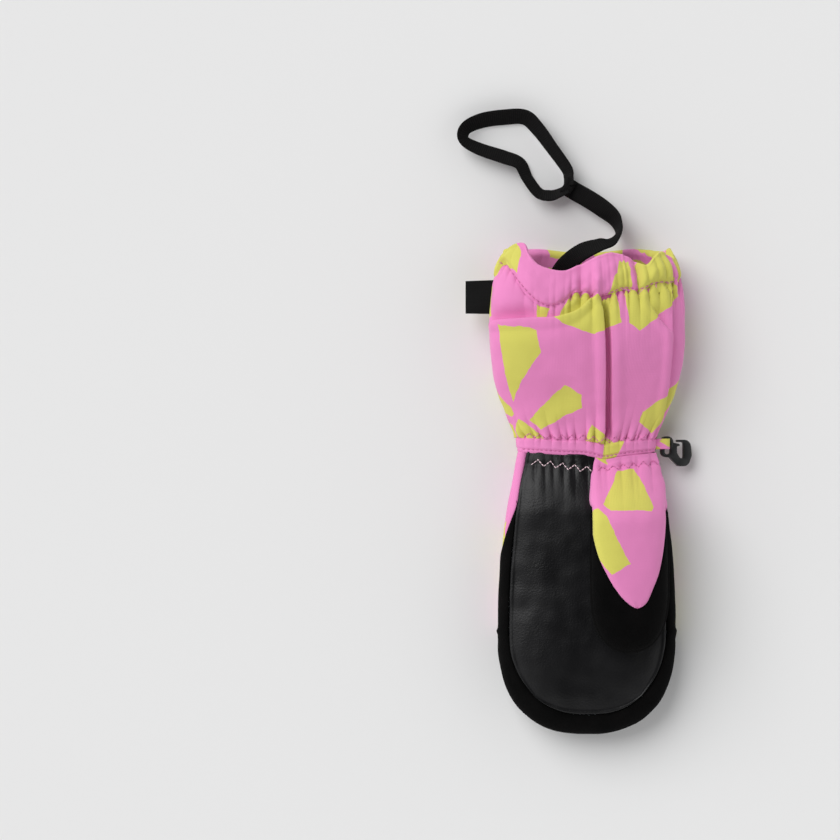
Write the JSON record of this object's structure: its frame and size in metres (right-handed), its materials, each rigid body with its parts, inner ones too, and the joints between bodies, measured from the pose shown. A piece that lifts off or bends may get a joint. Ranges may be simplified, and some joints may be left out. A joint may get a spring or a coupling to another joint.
{
  "type": "ski mitten",
  "caption": "Padded child's ski mitten with a gathered cuff, leather palm, lifting thumb, wrist hook and an elastic leash loop.",
  "frame": {"origin": "on the resting plane, on the flat of the back panel under the middle of the hand's length", "axes": "+Z out of the palm, +Y from the fingers to the cuff, +X towards the thumb"},
  "size_m": [0.1334, 0.3568, 0.0526],
  "materials": {
    "print_cloth": "matt woven shell cloth, pink with a lime print",
    "suede_cloth": "matt brushed synthetic suede",
    "palm_leather": "grained, satin",
    "wadding": "loose fibre",
    "membrane": "thin film",
    "fleece": "brushed",
    "tricot": "smooth knit",
    "elastic_tape": "ribbed elastic",
    "webbing": "ribbed elastic webbing",
    "hook_plastic": "moulded, glossy"
  },
  "bodies": {
    "mitten": {"back_panel": "print_cloth", "fingertip_cap": "suede_cloth", "side_gusset": "suede_cloth", "palm_panel": "palm_leather", "back_wadding": "wadding", "palm_wadding": "wadding", "membrane_insert": "membrane", "hand_lining": "fleece", "wrist_band": "print_cloth", "wrist_elastic": "elastic_tape", "cuff_shell": "print_cloth", "cuff_lining": "tricot", "hem_casing": "print_cloth", "hem_elastic": "elastic_tape", "leash_strap": "webbing", "leash_loop": "webbing", "leash_bartack": "webbing", "leash_anchor": "webbing", "side_label": "webbing", "clip_tab": "print_cloth"},
    "thumb": {"thumb_top": "print_cloth", "thumb_under": "suede_cloth", "thumb_wadding": "wadding", "thumb_lining": "fleece"},
    "hook": {"clip_hook": "hook_plastic"}
  },
  "joints": [
    {"name": "thumb_lift", "type": "hinge", "parent": "mitten", "child": "thumb", "pos_m": [0.0228, 0.07915, 0.0238], "axis": [-1, 0, 0], "range_deg": [0, 40]},
    {"name": "hook_swing", "type": "hinge", "parent": "mitten", "child": "hook", "pos_m": [0.04351, 0.08417, 0.01138], "axis": [0, 1, 0], "range_deg": [-90, 65]}
  ]
}
